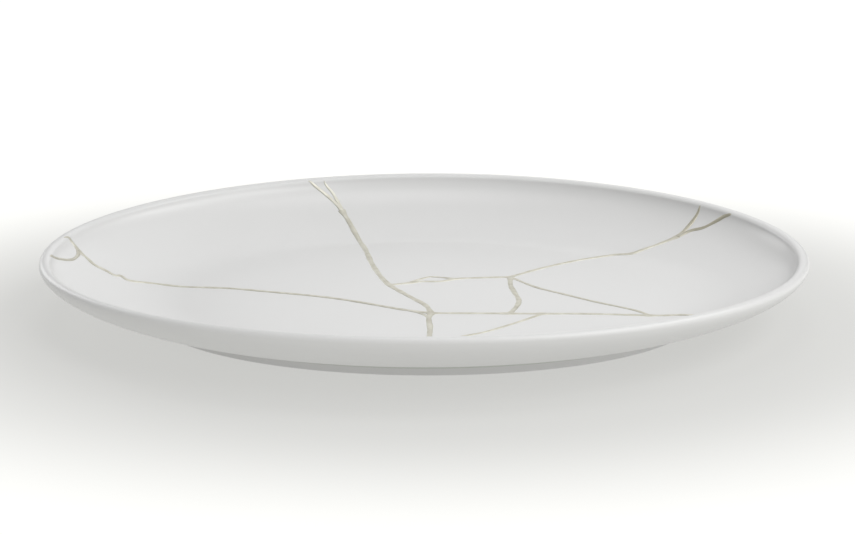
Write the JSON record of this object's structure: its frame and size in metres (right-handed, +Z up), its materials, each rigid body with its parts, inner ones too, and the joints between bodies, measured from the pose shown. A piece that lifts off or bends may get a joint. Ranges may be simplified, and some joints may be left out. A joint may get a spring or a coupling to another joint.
{
  "type": "kintsugi oval plate",
  "caption": "Oval white porcelain serving plate with a curved wall, a rounded lip and a foot ring, its cracks mended with gold seams.",
  "frame": {"origin": "middle of the plate in plan, on the plane that the foot ring stands on", "axes": "+X along the plate's length, +Y across it, +Z up"},
  "size_m": [0.3598, 0.2698, 0.0337],
  "materials": {
    "porcelain": "white porcelain under a clear glossy glaze, bare and matt under the foot ring",
    "gold_lacquer": "lacquer dusted with pale gold, burnished to a soft satin"
  },
  "bodies": {
    "root": {"plate": "porcelain", "gold_seams": "gold_lacquer"}
  },
  "joints": []
}
